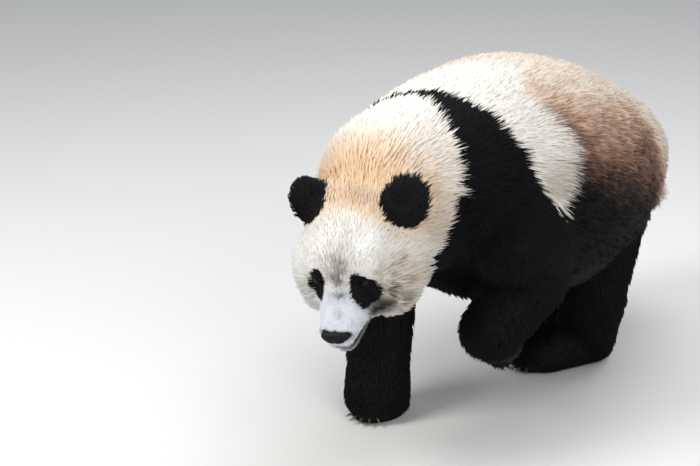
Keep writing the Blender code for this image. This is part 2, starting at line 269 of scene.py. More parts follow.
# ---------------- the skin
SKIN_GRAIN = 0.0079
SKIN_SOFTEN = 4
SEAM_WIDTH = 0.00005
DRAW_REACH = 0.012
HEAD_BACK = 0.10  # behind this, in the head's axes, the skin is left as it is
HEAD_FOOT = 0.30  # and under this height
EAR_REACH = 0.080  # the ears are left as they are too
EAR_FOOT = -0.045
# The parts of the head whose grain is made finer, from corner to corner of a box.
FACE_BOX = ((-0.105, -0.260, -0.118), (0.105, -0.066, 0.085))
MUZZLE_BOX = ((-0.070, -0.260, -0.112), (0.070, -0.100, -0.015))


def joined_solids():
    """One mesh of all the solids, with the index in SOLIDS that each of its faces is from."""
    corners, faces, owners = [], [], []
    for k, name in enumerate(SOLIDS):
        base = len(corners)
        solid = NODES[name].data
        corners += [v.co.copy() for v in solid.vertices]
        faces += [[base + i for i in p.vertices] for p in solid.polygons]
        owners += [k] * len(solid.polygons)
    return corners, faces, owners


solid_corners, solid_faces, solid_owner = joined_solids()
solid_tree = BVHTree.FromPolygons(solid_corners, solid_faces)


def nearest_solid(points):
    """The index in SOLIDS of the solid nearest to each point."""
    return np.array([solid_owner[solid_tree.find_nearest(Vector(p))[2]] for p in points])


def keep_largest(bm):
    """Leaves the largest island of a mesh, which is its outer skin."""
    islands, left = [], set(bm.verts)
    while left:
        group = [left.pop()]
        for v in group:
            for e in v.link_edges:
                w = e.other_vert(v)
                if w in left:
                    left.discard(w)
                    group.append(w)
        islands.append(group)
    islands.sort(key=len)
    for group in islands[:-1]:
        bmesh.ops.delete(bm, geom=group, context="VERTS")


def make_skin():
    """The solids melted into one skin with an even grain."""
    mesh = bpy.data.meshes.new("skin_rough")
    mesh.from_pydata(solid_corners, [], solid_faces)
    edit(mesh, lambda bm: bmesh.ops.remove_doubles(bm, verts=bm.verts, dist=SEAM_WIDTH))
    rough = new_object("skin_rough", mesh)
    grain = rough.modifiers.new("grain", "REMESH")
    grain.mode = "VOXEL"
    grain.voxel_size = SKIN_GRAIN
    melted = as_shown(rough)
    bpy.data.objects.remove(rough)
    edit(melted, keep_largest)
    put_back(melted, relax(coordinates(melted), edge_ends(melted), SKIN_SOFTEN))
    return melted


def finer(mesh, chosen):
    """Halves the grain of the skin where chosen is true of a point."""
    def halve(bm):
        edges = [e for e in bm.edges if chosen[e.verts[0].index] and chosen[e.verts[1].index]]
        bmesh.ops.subdivide_edges(bm, edges=edges, cuts=1, use_grid_fill=True, smooth=0.6)
        bmesh.ops.triangulate(bm, faces=[f for f in bm.faces if len(f.verts) > 4])
    edit(mesh, halve)


def face_parts(at):
    return within(at, *FACE_BOX)


def muzzle_parts(at):
    return (from_pair(at, EYE_PLACE) < 0.028) | within(at, *MUZZLE_BOX)


def edge_parts(at):
    return (from_pair(at, EYE_PLACE) < 0.020) | (np.abs(from_lips(at)) < 0.012)


def drawn_out(mesh):
    """The head's skin brought back to the solids' outline, which smoothing had shrunk."""
    co, out = coordinates(mesh), outward(mesh)
    head_points = in_head(co)
    chosen = (head_points[:, 1] < HEAD_BACK) & (co[:, 2] > HEAD_FOOT)
    for s in SIDES.values():
        ear_points = in_ear(head_points, s)
        chosen &= (far_from(ear_points, (0, 0, 0)) >= EAR_REACH) | (ear_points[:, 2] <= EAR_FOOT)
    for i in np.nonzero(chosen)[0]:
        n = Vector(out[i])
        hit = solid_tree.ray_cast(Vector(co[i]) + n * DRAW_REACH, -n, DRAW_REACH * 1.5)[0]
        if hit is not None:
            co[i] = hit
    return relax(co, edge_ends(mesh), 1)


skin_mesh = make_skin()
for parts in (face_parts, muzzle_parts, edge_parts):
    finer(skin_mesh, parts(in_head(coordinates(skin_mesh))))
put_back(skin_mesh, drawn_out(skin_mesh))
outer = coordinates(skin_mesh)
ends = edge_ends(skin_mesh)
owner = nearest_solid(outer)
owner_names = np.array(SOLIDS)[owner]
face_on = in_head(outer)
fx, fy, fz = face_on.T  # the same points in the head's axes


def skin_faces(steps):
    """The way that the skin faces at each point, evened out."""
    return unit(relax(outward(skin_mesh), ends, steps))


def on_solids(test):
    """True for the points of the solids whose names pass a test."""
    return np.array([test(name) for name in SOLIDS])[owner]


facing = skin_faces(6)
of_ear = on_solids(lambda name: name.startswith("ear_"))
of_face = on_solids(lambda name: name in HEAD_NODES)
of_head = of_face | of_ear


# ---------------- the coat's measures
# How deep the coat stands on the skin, how long its locks are and how wide, in metres,
# and how many locks stand on a square metre. The head's has a table of its own.
COATS = {
    "trunk": (0.024, 0.056, 0.0031, 70000),
    "neck": (0.024, 0.050, 0.0030, 90000),
    "ear": (0.006, 0.010, 0.0023, 130000),
    "tail": (0.011, 0.052, 0.0042, 70000),
    "upper": (0.020, 0.042, 0.0034, 56000),
    "lower": (0.015, 0.036, 0.0034, 50000),
    "paw": (0.010, 0.023, 0.0031, 60000),
}
# The same four measures of the head, each on cheek, crown, muzzle and lids, and how many
# times each is evened out.
HEAD_COAT = (
    ((0.015, 0.008, 0.0028, 0.0030), 14),
    ((0.034, 0.021, 0.0080, 0.0070), 14),
    ((0.0028, 0.0023, 0.0016, 0.0018), 14),
    ((96000, 140000, 240000, 160000), 10),
)
JOWL_PLACE = (0.076, -0.118, -0.068)
JOWL_REACH = 0.026
RUFF_PLACE = (0.150, -0.030, -0.030)
RUFF_REACH = 0.060
FLEW_DEPTH = 0.0060
# On the left the dark reaches past the lips, above and below them, as painted shadow of the open mouth.
LIPS_LOW = -0.0130  # the dark of the lips, from here under the line of the mouth
MOUTH_SHADOW_HIGH = 0.0150  # to here over it, on the left side
LIPS_BARE = 0.0100
EYE_BARE = 0.0125
LEATHER_BARE = 1.25

# On the head the coat is thick on cheeks and crown and thins to velvet towards the nose.
from_nose = far_from(face_on, NOSE_TIP)
from_eye = from_pair(face_on, EYE_PLACE)
velvet = fade(from_nose, 0.070, 0.170)
by_eye = fade(from_eye, 0.016, 0.060)
on_crown = ramp(fz, 0.020, 0.080) * fade(np.abs(fx), 0.075, 0.125) * fade(fy, 0.000, 0.080)


def coat_of(node):
    """The coat whose name a solid's name starts with. The head's solids have the neck's behind."""
    if node in HEAD_NODES:
        return COATS["neck"]
    return next(coat for name, coat in COATS.items() if node.startswith(name))


point_coats = np.array([coat_of(name) for name in SOLIDS])[owner]


def coat_measure(column, cheek, crown, muzzle, lid):
    """One measure of the coat at each point."""
    body = point_coats[:, column]
    value = cheek + (crown - cheek) * on_crown
    value = value + (muzzle - value) * velvet
    value = value + (np.minimum(lid, value) - value) * by_eye
    return np.where(of_face, value + (body - value) * ramp(fy, 0.020, 0.090), body)


depth, length, width, number = (relax(coat_measure(k, *parts), ends, steps)
                                for k, (parts, steps) in enumerate(HEAD_COAT))
# The ears' coat is short and even, and the head's is short in front of them.
ear_share = relax(of_ear, ends, 3)
depth, length, width = (value + (ear_value - value) * ear_share
                        for value, ear_value in zip((depth, length, width), COATS["ear"]))
length *= 1.0 - 0.45 * fade(from_pair(face_on, EAR_PLACE), 0.060, 0.095) * (1.0 - ear_share)
# The pads touch the floor, and the coat is short where a foot meets it.
off_floor = ramp(outer[:, 2], 0.002, 0.045)
depth *= 0.10 + 0.90 * off_floor
length *= 0.35 + 0.65 * off_floor
# The locks are short under the jaw and at the left corner of the mouth.
length *= 1.0 - 0.55 * ramp(-fz, 0.092, 0.108) * of_head
length *= 1.0 - 0.60 * round_spot(face_on, JOWL_PLACE, JOWL_REACH)
# No lock grows on pads, lips, lids and nose leather.
lips = from_lips(face_on)
bare = (facing[:, 2] < -0.75) & (outer[:, 2] < 0.012)
bare |= ((lips > LIPS_LOW) & (lips < LIPS_BARE)) | (from_eye < EYE_BARE)
bare |= of_head & (from_leather(face_on) < LEATHER_BARE)
number = np.where(bare, 0.0, number)
# The coat stands out most on the left cheek, and lies closer round the rest of the head.
ruff = round_spot(face_on, RUFF_PLACE, RUFF_REACH)
lock_rise = depth * (1.0 - 0.30 * of_head * (1.0 - ear_share) + 1.05 * ruff)
length *= 1.0 + 0.30 * ruff
# The muzzle's sides are hollowed over the lips.
flews = bell(np.abs(fx), 0.042, 0.018) * bell(fz, -0.070, 0.022) * ramp(-fy, 0.110, 0.140)
depth = depth + FLEW_DEPTH * flews


# ---------------- the lie of the coat
FACE_WHORL = (0.0, -0.205, 0.005)  # the head's coat lies away from here
TAIL_WAY = (0.05, 0.15, -1.0)


def limb_way(points, joints):
    """The way down the nearest length of a limb."""
    joints = np.array(joints) + np.array(POSE_AT)
    runs = np.diff(joints, axis=0)
    offs = []
    for joint, run in zip(joints, runs):
        t = np.clip((points - joint) @ run / (run @ run), 0.0, 1.0)
        offs.append(np.linalg.norm(points - (joint + t[:, None] * run), axis=1))
    return unit(runs)[np.argmin(offs, axis=0)]


def lie_of_coat():
    """The way that the coat lies at each point of the skin."""
    way = np.zeros_like(outer)
    way[:, 1] = 1.0
    way[:, 2] = -0.60 * np.abs(facing[:, 0]) - 0.75 * ramp(outer[:, 1], 0.35, 0.70)
    for name in SOLIDS:
        limb = name.partition("_")[2]
        chosen = owner_names == name
        if limb in LIMBS:
            way[chosen] = limb_way(outer[chosen], LIMBS[limb])
    way[owner_names == "tail"] = TAIL_WAY
    away = face_on - np.array(FACE_WHORL)
    away[:, 2] -= 0.35 * ramp(np.abs(fx), 0.05, 0.16) * np.abs(away[:, 1])
    way = np.where(of_head[:, None], unit(away) @ TO_HEAD.T, way)
    for s in SIDES.values():
        from_root = unit(face_on - on_side(EAR_ROOT, s)) @ TO_HEAD.T
        way = np.where((of_ear & (fx * s > 0))[:, None], from_root, way)
    way = unit(way)
    for _ in range(3):
        way = relax(way, ends, 8)
        way -= facing * np.sum(way * facing, axis=1, keepdims=True)
        way = unit(way)
    return way


lie = lie_of_coat()


# ---------------- the markings, and painted shade on the face
# Round the body, from 0 at the middle of the back to 180 degrees under the belly: how far
# along the body the black yoke starts, the yoke ends and the white saddle ends.
BANDS = (
    (0.0, -0.307, -0.245, 0.060),
    (10.0, -0.345, -0.257, 0.022),
    (18.0, -0.368, -0.257, -0.030),
    (27.0, -0.391, -0.255, -0.088),
    (38.0, -0.418, -0.263, -0.093),
    (48.0, -0.442, -0.259, -0.080),
    (60.0, -0.460, -0.250, -0.060),
    (73.0, -0.475, -0.221, -0.092),
    (80.0, -0.493, -0.192, -0.120),
    (87.0, -0.508, -0.160, -0.152),
    (120.0, -0.498, -0.100, -0.150),
    (180.0, -0.480, -0.050, -0.150),
)
SPINE_HEIGHT = 0.530
# Below these heights, along the body, the coat is black again.
DARK_ALONG = (-0.30, -0.15, -0.112, -0.065, -0.023, 0.027, 0.082, 0.158, 0.237, 0.40, 0.60)
DARK_BELOW = (0.545, 0.552, 0.589, 0.567, 0.540, 0.515, 0.491, 0.465, 0.443, 0.415, 0.330)
FORELEG_TOP = 0.545
MARKS_AT = np.array(POSE_AT) - (0.0104, 0.1268, 0.0)  # the marks are told from here
RUMP_HEIGHT = 0.31  # from the dark line up to where the rump is as pale as the saddle
TAIL_ROOT = (0.005, 0.532, 0.480)
TIP_SHARE = 0.6  # how far along a lock the part lies that shows
HEAD_TIP_SHARE = 0.75
FACE_BACK = 0.012  # the face's marks end here, behind the eyes
EAR_DISC = (0.0545, 0.0600)

# The eye patches: middle, the way their long axis slants, half length, half width, squareness, side.
EYE_PATCHES = (
    ((0.0560, 0.0150), (0.46, -0.888), 0.0505, 0.0222, 2.4, 1.0),
    ((-0.0630, 0.0170), (-0.286, -0.958), 0.0520, 0.0228, 1.8, -1.0),
)
ROOT_PATCH = 0.60  # the patches' size at the locks' roots
RAGGED = 0.006  # how far the edges of the body's marks wander
# Grey-brown smudges on the face: dirt, and painted shade on the muzzle's left flank and outside the left
# eye patch. Each has its middle, half sizes and strength.
SMUDGES_AND_SHADE = (
    ((-0.002, 0.062), (0.030, 0.038), 0.68),
    ((0.004, 0.100), (0.030, 0.040), 0.26),
    ((0.003, 0.0255), (0.024, 0.0065), 0.62),
    ((0.044, -0.045), (0.018, 0.040), 0.32),
    ((0.005, -0.009), (0.013, 0.009), 0.45),
    ((0.086, 0.030), (0.016, 0.045), 0.30),
)
# Rusty places on the left cheek, and painted shadow under the cheek from the mouth's corner up past the
# eye patch: middle, reach and strength.
RUST_AND_SHADOW_SPOTS = (
    ((0.120, -0.075, 0.034), 0.030, 0.42),
    ((0.131, -0.050, 0.048), 0.022, 0.60),
    ((0.141, -0.057, -0.004), 0.028, 0.62),
    ((0.108, -0.098, -0.003), 0.022, 1.00),
    ((0.127, -0.075, -0.052), 0.030, 0.85),
    ((0.110, -0.098, -0.033), 0.022, 0.90),
    ((0.094, -0.108, -0.039), 0.026, 1.00),
    ((0.070, -0.115, -0.050), 0.022, 1.00),
    ((0.116, -0.075, -0.082), 0.026, 0.60),
    ((0.146, -0.007, -0.039), 0.032, 0.35),
)
CHEEK_SUNNED = (0.130, -0.060, 0.000)
# Painted shadow at the left corner of the mouth, under the cheek.
MOUTH_CORNER_SHADOW = (0.078, -0.115, -0.049)
LIPS_THIN = 0.008  # how high the dark of the lips is where they are thin
# How dark the painted shadow under the muzzle is on the left side of chin and jaw.
CHIN_SHADOW = 0.48
JAW_SHADOW = 0.84

# Where each lock shows: bx, by, bz on the body, and hx, hy, hz in the head's axes.
seen = outer + lie * (length * np.where(of_head, HEAD_TIP_SHARE, TIP_SHARE))[:, None]
bx, by, bz = (seen - MARKS_AT).T
head_seen = in_head(seen)
hx, hy, hz = head_seen.T
face = of_head & (hy < FACE_BACK)
off_face = 1.0 - face
off_ear = 1.0 - of_ear
ragged = wave_noise(outer, 0.030, 3) * RAGGED
ragged_by = by + ragged
round_body = np.degrees(np.arctan2(np.abs(bx), bz - SPINE_HEIGHT))
band_turns, *band_edges = np.array(BANDS).T
yoke_front, yoke_rear, saddle_rear = (np.interp(round_body, band_turns, edge) for edge in band_edges)
dark_line = np.interp(by, DARK_ALONG, DARK_BELOW)


def body_black():
    """The yoke, the legs and all that is low. On the right side the yoke starts further back."""
    further_back = np.maximum(yoke_front, BANDS[0][1]) - yoke_front
    front = yoke_front + further_back * np.where(bx < 0, fade(round_body, 14.0, 55.0), 0.0)
    low = ramp(dark_line - bz + ragged, -0.018, 0.018)
    mark = ramp(ragged_by - front, -0.007, 0.007)
    mark = mark * np.maximum(ramp(yoke_rear - ragged_by, -0.008, 0.008), low)
    mark[on_solids(lambda name: "_fore_" in name) & (bz < FORELEG_TOP)] = 1.0
    mark[on_solids(lambda name: name.startswith(("paw_", "lower_fore", "lower_hind")))] = 1.0
    mark[face | (owner_names == "tail")] = 0.0
    return mark


def face_black():
    """The ears and the eye patches."""
    mark = of_ear.astype(float)
    for s in SIDES.values():
        ex, ey, ez = in_ear(face_on, s).T
        disc = np.hypot(ex / EAR_DISC[0], (ez + 0.002) / EAR_DISC[1])
        disc = np.where(of_head & (np.abs(ey) < 0.040), disc, FAR_OFF)
        mark = np.maximum(mark, fade(disc, 0.92, 1.04))
    for centre, slant, half_long, half_wide, square, s in EYE_PATCHES:
        for points, size in ((head_seen, 1.0), (face_on, ROOT_PATCH)):
            du, dw = points[:, 0] - centre[0], points[:, 2] - centre[1]
            along = (du * slant[0] + dw * slant[1]) / half_long
            across = (dw * slant[0] - du * slant[1]) / half_wide
            patch = (np.abs(along) ** square + np.abs(across) ** square) ** (1 / square)
            patch = np.where(face & (hy < -0.04) & (hx * s > 0), patch, FAR_OFF)
            mark = np.maximum(mark, fade(patch / size, 0.90, 1.08))
    return mark


def dark_lips_and_shadow():
    """The dark lips, with painted shadow of the open mouth over and under them and down the chin and jaw
    on the left, painted shadow at the mouth's left corner, and the dark skin round the nose leather.
    """
    off = from_lips(face_on)
    on_left = ramp(fx, -0.022, 0.006)
    rise = MOUTH_SHADOW_HIGH + 0.006 * ramp(np.abs(fx), 0.022, 0.040) - LIPS_THIN
    top = LIPS_THIN + rise * ramp(-fy, 0.115, 0.140) * on_left
    foot = -0.007 + (LIPS_LOW + 0.007) * on_left
    mark = ramp(off - foot, -0.004, 0.002) * fade(off - top, -0.010, 0.005)
    jaw_foot = LIPS_LOW - 0.008 * ramp(fy, -0.196, -0.184)
    jaw = JAW_SHADOW * on_left * ramp(off - jaw_foot, -0.006, 0.004)
    mark = np.maximum(mark, np.maximum(CHIN_SHADOW * on_left, jaw) * (off < 0.0))
    mark = np.maximum(mark, fade(from_leather(face_on), 1.15, 1.35))
    return np.maximum(mark, 0.95 * round_spot(head_seen, MOUTH_CORNER_SHADOW, 0.029)) * of_head


def rump_tone():
    """How far each place is up the rump's tones, from the black of the legs to the pale back."""
    tone = (bz - dark_line) / RUMP_HEIGHT + 0.42 * ramp(by, 0.33, 0.45)
    tone = tone - 0.16 * bell(by, 0.25, 0.07) * bell(bz, 0.63, 0.07)
    from_tail = far_from(seen, np.array(TAIL_ROOT) + np.array(POSE_AT))
    tone = np.maximum(tone, fade(from_tail, 0.07, 0.14))
    return tone + 0.07 * wave_noise(outer, 0.09, 11) + 0.04 * wave_noise(outer, 0.03, 12)


def straw_stain():
    """The straw colour of the nape, the left of the collar and the sunned cheek."""
    nape = bell(by, -0.572, 0.085) * ramp(bz, 0.52, 0.64)
    sides = 0.80 * ramp(-by, 0.44, 0.52) * ramp(np.abs(bx), 0.07, 0.13) * ramp(bz, 0.56, 0.68)
    mark = np.maximum(nape, sides) * off_ear * ramp(hy, -0.055, 0.020)
    mark = mark * (1.0 + 0.15 * wave_noise(outer, 0.06, 21))
    off_head = ramp(hy, 0.0, 0.08)
    collar = 0.30 * ramp(bx, 0.02, 0.10) * ramp(-by, 0.36, 0.44) * off_head
    mark = np.maximum(mark, off_face * np.maximum(collar, 0.14 * off_head))
    return np.maximum(mark, 0.50 * round_spot(head_seen, CHEEK_SUNNED, 0.070) * of_face)


def grey_beige():
    """The greyer coat of the neck's sides, the top of the back and the saddle's left foot."""
    neck = ramp(np.abs(bx), 0.13, 0.19) * fade(bz, 0.60, 0.70)
    neck = neck * ramp(-by, 0.42, 0.48) * ramp(hy, -0.02, 0.03) * off_ear * 0.5
    back = 0.30 * ramp(bz, 0.78, 0.83) * ramp(by, -0.06, 0.04)
    foot = 0.45 * ramp(bz, 0.56, 0.60) * fade(bz, 0.62, 0.70) * ramp(bx, 0.20, 0.26)
    foot = foot * ramp(saddle_rear - by, -0.02, 0.03) * ramp(by - yoke_rear, 0.0, 0.02)
    return np.maximum(neck, np.maximum(back, foot))


# The face's dirt, and its painted shade on the muzzle's left flank and outside the left eye patch.
def face_dirt_and_shade():
    spots = sum(strength * bell(hx, cx, rx) * bell(hz, cz, rz)
                for (cx, cz), (rx, rz), strength in SMUDGES_AND_SHADE)
    return spots * (face & (hy < -0.02)) * (0.80 + 0.5 * wave_noise(outer, 0.016, 31))


# Rust on the left cheek, and painted shadow under the cheek near the mouth's corner, in one colour.
def cheek_rust_and_shadow():
    spots = np.max([strength * round_spot(head_seen, place, reach)
                    for place, reach, strength in RUST_AND_SHADOW_SPOTS], axis=0)
    patchy = 0.80 + 0.5 * wave_noise(outer, 0.012, 41)
    return spots * (face & ~of_ear) * np.where(spots > 0.8, 1.0, patchy)


marks = {
    "Black": np.maximum(body_black(), face_black()),
    "Tone": rump_tone(),
    "Rump": ramp(ragged_by - saddle_rear, -0.040, 0.022) * off_face * (owner_names != "tail"),
    "Stain": straw_stain(),
    "DirtAndShade": face_dirt_and_shade(),
    "RustAndShadow": cheek_rust_and_shadow(),
    "Cool": fade(from_nose, 0.085, 0.125) * face,
    "Grey": grey_beige(),
    "LipsAndShadow": dark_lips_and_shadow(),
}
number = number * (1.0 + 0.30 * (1.0 - marks["Black"]) * ~of_head)
# The marks as the skin and the locks carry them, three to a field.
MARK_FIELDS = {
    "marks_one": ("Black", "Tone", "Rump"),
    "marks_two": ("Stain", "DirtAndShade", "RustAndShadow"),
    "marks_three": ("Cool", "Grey", "LipsAndShadow"),
}

# ---------------- setting the skin inside the coat
INSET_STEPS = 6
LID_OVER = 0.0011  # the lids' edges stand this far off the eyeball
LID_FOLD = 0.0012
EYE_OPEN_ACROSS = 0.92  # half the opening, seen from the eyeball's middle, in radians
EYE_OPEN_UP = 0.50
EYE_SLANT = 0.25
EYE_HIDDEN = 0.0022  # in the opening, the skin is this far inside the eyeball
LID_REACH = 0.024
MOUTH_GROOVE = 0.0080
MOUTH_GAP = 0.0030
LIP_SWELL = 0.0016
LIP_OFF = 0.0065
LIP_HALF = 0.0035
PHILTRUM = 0.0016
NOSE_SWELL = 0.0050
# The ears are drawn in, across and up, towards these places of their own axes by these shares.
EAR_DRAWN_IN = {
    1.0: ((-0.050, 0.06), (-0.060, 0.085)),
    -1.0: ((-0.050, 0.06), (0.060, 0.08)),
}


def work_lids(at):
    """The skin drawn over each eyeball as two lids, in the head's axes."""
    for s in SIDES.values():
        eye_at = on_side(EYE_PLACE, s)
        look = on_side(LOOK, s)
        look /= np.linalg.norm(look)
        slit = np.cross(look, (0.0, 0.0, 1.0)) + np.array((0.0, 0.0, -EYE_SLANT * s))
        slit -= look * (slit @ look)
        slit /= np.linalg.norm(slit)
        off = far_from(at, eye_at)
        way = (at - eye_at) / np.maximum(off, 1e-6)[:, None]
        forward = np.maximum(way @ look, 1e-3)
        across = np.arctan2(way @ slit, forward)
        up = np.arctan2(way @ np.cross(slit, look), forward)
        rim = np.abs(up) - EYE_OPEN_UP * (1.0 - (across / EYE_OPEN_ACROSS) ** 2)
        lid = EYE_RADIUS + LID_OVER + LID_FOLD * bell(rim, 0.16, 0.12)
        reach = np.where(rim < 0.0, EYE_RADIUS - EYE_HIDDEN, lid)
        reach = reach + (off - reach) * ramp(rim, 0.45, 1.05)
        near = (way @ look > 0.05) & (off < LID_REACH)
        at = np.where(near[:, None], eye_at + way * reach[:, None], at)
    return at


def work_mouth(at, out):
    """The groove of the mouth with a lip each side of it, and the groove under the nose."""
    x, y, z = at.T
    off = from_lips(at)
    groove = np.exp(-(off / MOUTH_GAP) ** 4) * MOUTH_GROOVE
    swell = (bell(off, LIP_OFF, LIP_HALF) + bell(off, -LIP_OFF, LIP_HALF)) * LIP_SWELL
    shape = np.where(off < FAR_OFF, (swell - groove) * ramp(-y, -MOUTH_CORNER, -MOUTH_CORNER + 0.020), 0.0)
    under_nose = ramp(-y, 0.170, 0.185) * (z < -0.052) * (z > MOUTH_HEIGHT)
    return at + out * (shape - PHILTRUM * bell(x, 0.0, 0.0016) * under_nose)[:, None]


inner = outer.copy()
for _ in range(INSET_STEPS):
    put_back(skin_mesh, inner)
    inner = inner - skin_faces(5) * depth[:, None] / INSET_STEPS
inner = relax(inner, ends, 3)
put_back(skin_mesh, inner)
# The muzzle swells a little round the nose.
round_nose = bell(from_nose, 0.043, 0.014) * ramp(from_leather(face_on), 1.15, 1.40) * of_head
inner = inner + skin_faces(5) * (NOSE_SWELL * round_nose)[:, None]
put_back(skin_mesh, inner)
worked = work_mouth(work_lids(in_head(inner)), skin_faces(4) @ TO_HEAD)
for s, ((keep_x, share_x), (keep_z, share_z)) in EAR_DRAWN_IN.items():
    ex, ey, ez = in_ear(worked, s).T
    drawn = np.stack([(keep_x - ex) * share_x, 0.0 * ey, (keep_z - ez) * share_z], 1)
    worked = worked + drawn @ ear_turn(s).T * (ear_share * (fx * s > 0))[:, None]
put_back(skin_mesh, np.where(of_head[:, None], out_of_head(worked), inner))

for field, names in MARK_FIELDS.items():
    store(skin_mesh, field, np.stack([np.clip(marks[name], 0.0, 1.0) for name in names], 1))
for field, values in (("lie", lie), ("lock_depth", lock_rise), ("lock_length", length),
                      ("lock_width", width), ("lock_number", number), ("facing", skin_faces(4))):
    store(skin_mesh, field, values)
skin_mesh.shade_smooth()
skin_mesh.name = "skin"
skin = new_object("skin", skin_mesh)


# ---------------- helpers for finishes
def shade(red, green, blue):
    """A colour as seen, 0 to 255, as a paint."""
    def plain(value):
        value /= 255.0
        return value / 12.92 if value <= 0.04045 else ((value + 0.055) / 1.055) ** 2.4
    return (plain(red), plain(green), plain(blue), 1.0)


def add(tree, kind, inputs=None, **settings):
    """A new node, with its settings, and each input linked to a socket or given a plain value."""
    node = tree.nodes.new(kind)
    for key, value in settings.items():
        setattr(node, key, value)
    for key, value in (inputs or {}).items():
        if hasattr(value, "is_output"):
            tree.links.new(value, node.inputs[key])
        else:
            node.inputs[key].default_value = value
    return node


def sums(tree, operation, first, second, clamp=False):
    node = add(tree, "ShaderNodeMath", {0: first, 1: second}, operation=operation, use_clamp=clamp)
    return node.outputs[0]


def mix_colours(tree, factor, first, second, blend="MIX"):
    """A colour from two, each a socket or a plain colour."""
    inputs = {0: factor, 6: first, 7: second}
    return add(tree, "ShaderNodeMix", inputs, data_type="RGBA", blend_type=blend).outputs[2]


def tones(tree, factor, steps):
    """A colour that runs through the steps, each a place from 0 to 1 and the colour there."""
    node = add(tree, "ShaderNodeValToRGB", {0: factor})
    elements = node.color_ramp.elements
    while len(elements) < len(steps):
        elements.new(0.5)
    for element, (place, colour) in zip(elements, steps):
        element.position = place
        element.color = colour
    return node.outputs[0]


def noise(tree, place, scale, detail):
    inputs = {"Vector": place, "Scale": scale, "Detail": detail}
    return add(tree, "ShaderNodeTexNoise", inputs).outputs


def carried(tree, name, output="Fac"):
    """A value that the mesh carries at each point."""
    return add(tree, "ShaderNodeAttribute", attribute_name=name).outputs[output]


def on_object(tree):
    return add(tree, "ShaderNodeTexCoord").outputs["Object"]


def finish(name, paint, roughness, specular=0.5):
    """A material. What paint makes of its tree is the colour, and the normal if it gives two."""
    material = bpy.data.materials.new(name)
    material.use_nodes = True
    tree = material.node_tree
    tree.nodes.clear()
    inputs = {"Roughness": roughness, "Specular IOR Level": specular}
    inputs.update(zip(("Base Color", "Normal"), paint(tree)))
    surface = add(tree, "ShaderNodeBsdfPrincipled", inputs)
    add(tree, "ShaderNodeOutputMaterial", {0: surface.outputs[0]})
    return material


def bumps(tree, height, strength, distance):
    """A normal with small bumps, as high as a pattern's values."""
    inputs = {"Strength": strength, "Distance": distance, "Height": height}
    return add(tree, "ShaderNodeBump", inputs).outputs["Normal"]


# ---------------- the coat's colours
CREAM = shade(240, 238, 232)
SUNNED = shade(226, 192, 154)
COOL_WHITE = shade(226, 230, 238)
GREY_BEIGE = shade(176, 160, 142)
FACE_GREY = shade(120, 112, 100)
# The colour of the cheek's rust, and of the painted shadow under the cheek by the mouth.
CHEEK_RUST_AND_SHADOW = shade(96, 82, 68)
# The black of the lips, also used for the painted shadow of mouth, chin and jaw on the left.
LIP_AND_SHADOW_BLACK = shade(20, 18, 20)
FUR_BLACK = shade(8, 8, 11)
# Up the rump from the black of the legs: how far up, and the colour there.
RUMP_TONES = (
    (0.00, shade(12, 10, 11)),
    (0.13, shade(36, 26, 23)),
    (0.26, shade(88, 62, 50)),
    (0.44, shade(146, 110, 92)),
    (0.64, shade(188, 152, 130)),
    (0.82, shade(226, 196, 172)),
    (1.00, shade(242, 228, 212)),
)
ROOT_SHADE = 0.68
RUMP_ROOT_SHADE = 0.38
STREAK_SCALE = 46.0
STREAK_SHARE = 0.9
LOCK_SHARE = 0.55
NAP_SCALE = 420.0


def coat_tint_group():
    """The panda's colours, from its marks, with streaks and root shading."""
    tree = bpy.data.node_groups.new("coat_tint", "ShaderNodeTree")
    for name in sum(MARK_FIELDS.values(), ()) + ("Along", "Lock"):
        tree.interface.new_socket(name, in_out="INPUT", socket_type="NodeSocketFloat")
    tree.interface.new_socket("Place", in_out="INPUT", socket_type="NodeSocketVector")
    tree.interface.new_socket("Colour", in_out="OUTPUT", socket_type="NodeSocketColor")
    given = add(tree, "NodeGroupInput").outputs

    def plus(first, second, clamp=False):
        return sums(tree, "ADD", first, second, clamp)

    def less(first, second):
        return sums(tree, "SUBTRACT", first, second)

    def times(first, second):
        return sums(tree, "MULTIPLY", first, second)

    streak = less(noise(tree, given["Place"], STREAK_SCALE, 3.0)["Fac"], 0.5)
    lock = less(given["Lock"], 0.5)
    stir = plus(times(streak, STREAK_SHARE), times(lock, LOCK_SHARE))

    def stirred(name, share):
        """A mark whose half tones break into separate locks."""
        mark = given[name]
        room = times(times(mark, less(1.0, mark)), 4.0)
        return plus(mark, times(times(stir, room), share), clamp=True)

    def crisp(name, steepness):
        """A mark that each lock wears whole or not at all."""
        moved = plus(given[name], times(lock, LOCK_SHARE))
        return plus(times(less(moved, 0.5), steepness), 0.5, clamp=True)

    rump_colour = tones(tree, plus(given["Tone"], times(stir, 0.42)), RUMP_TONES)
    # The dirt, the cheek's rust and the lips' black carry painted shade and shadow as well as real colour.
    colour = CREAM
    for factor, over in ((stirred("Stain", 0.4), SUNNED), (stirred("Grey", 0.6), GREY_BEIGE),
                         (given["Cool"], COOL_WHITE), (stirred("Rump", 1.2), rump_colour),
                         (stirred("RustAndShadow", 0.9), CHEEK_RUST_AND_SHADOW), (stirred("DirtAndShade", 0.9), FACE_GREY),
                         (given["LipsAndShadow"], LIP_AND_SHADOW_BLACK), (crisp("Black", 5.0), FUR_BLACK)):
        colour = mix_colours(tree, factor, colour, over)
    root = plus(times(given["Rump"], RUMP_ROOT_SHADE - ROOT_SHADE), ROOT_SHADE)
    lift = plus(times(given["Along"], less(1.0, root)), root)
    lift = times(lift, plus(times(stir, 0.20), 1.0))
    shaded = add(tree, "ShaderNodeCombineColor", {0: lift, 1: lift, 2: lift})
    colour = mix_colours(tree, 1.0, colour, shaded.outputs[0], "MULTIPLY")
    add(tree, "NodeGroupOutput", {"Colour": colour})
    return tree


COAT_TINT = coat_tint_group()


